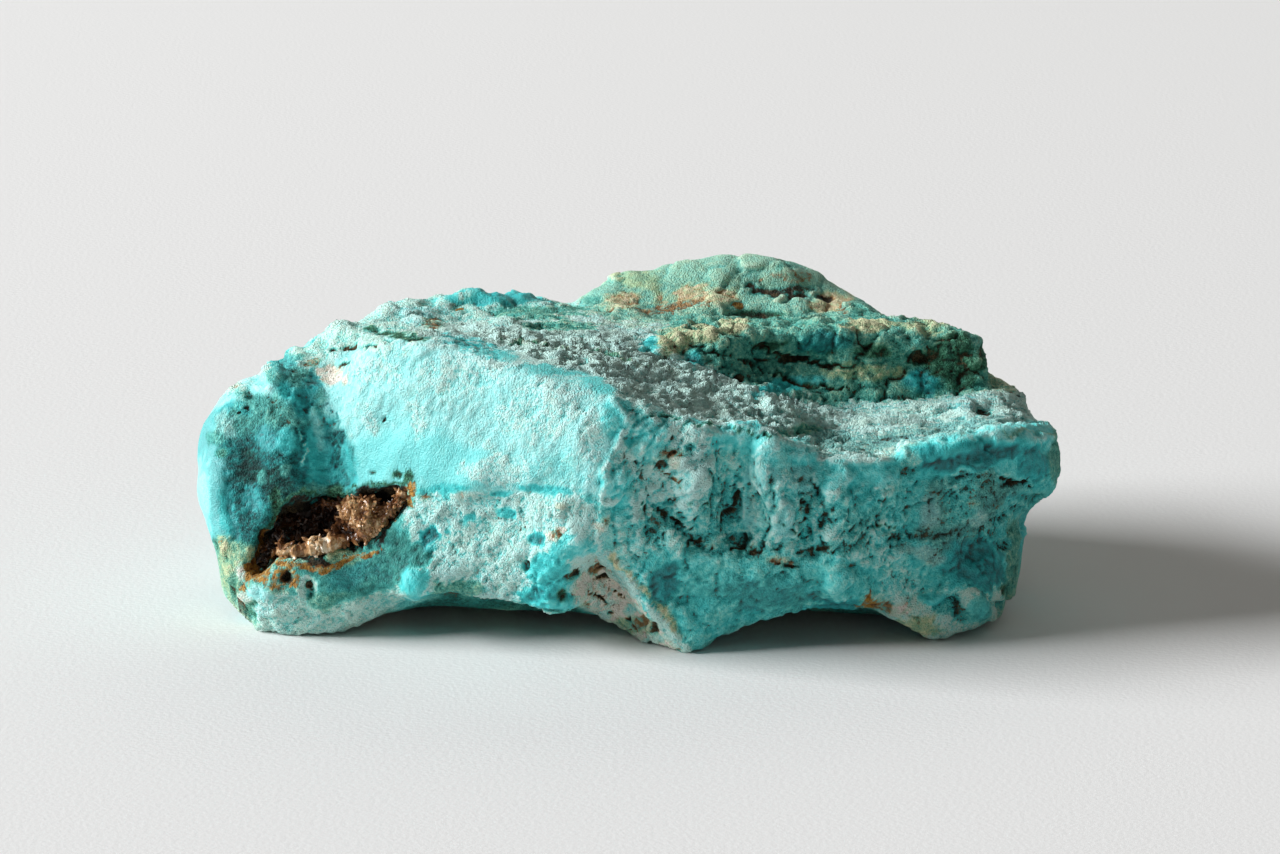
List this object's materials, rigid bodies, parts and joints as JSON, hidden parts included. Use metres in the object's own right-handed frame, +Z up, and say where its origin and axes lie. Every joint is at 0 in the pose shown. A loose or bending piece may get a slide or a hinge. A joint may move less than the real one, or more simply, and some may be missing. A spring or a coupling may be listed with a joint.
{
  "type": "raw turquoise nugget",
  "caption": "Rough, broken turquoise stone with a stepped top, a ledge, arched underside and a rusty crystal-lined pocket; rests on worn feet.",
  "frame": {"origin": "under the middle of the bounding box, at the height of the surface it rests on", "axes": "+X along the stone's length, from its pocket end to its plain end; -Y out of its broad broken face; +Z up"},
  "size_m": [0.0492, 0.0308, 0.0175],
  "materials": {
    "turquoise": null,
    "rusty_druse": null
  },
  "bodies": {
    "root": {"turquoise_stone": "turquoise", "rusty_druse": "rusty_druse"}
  },
  "joints": []
}
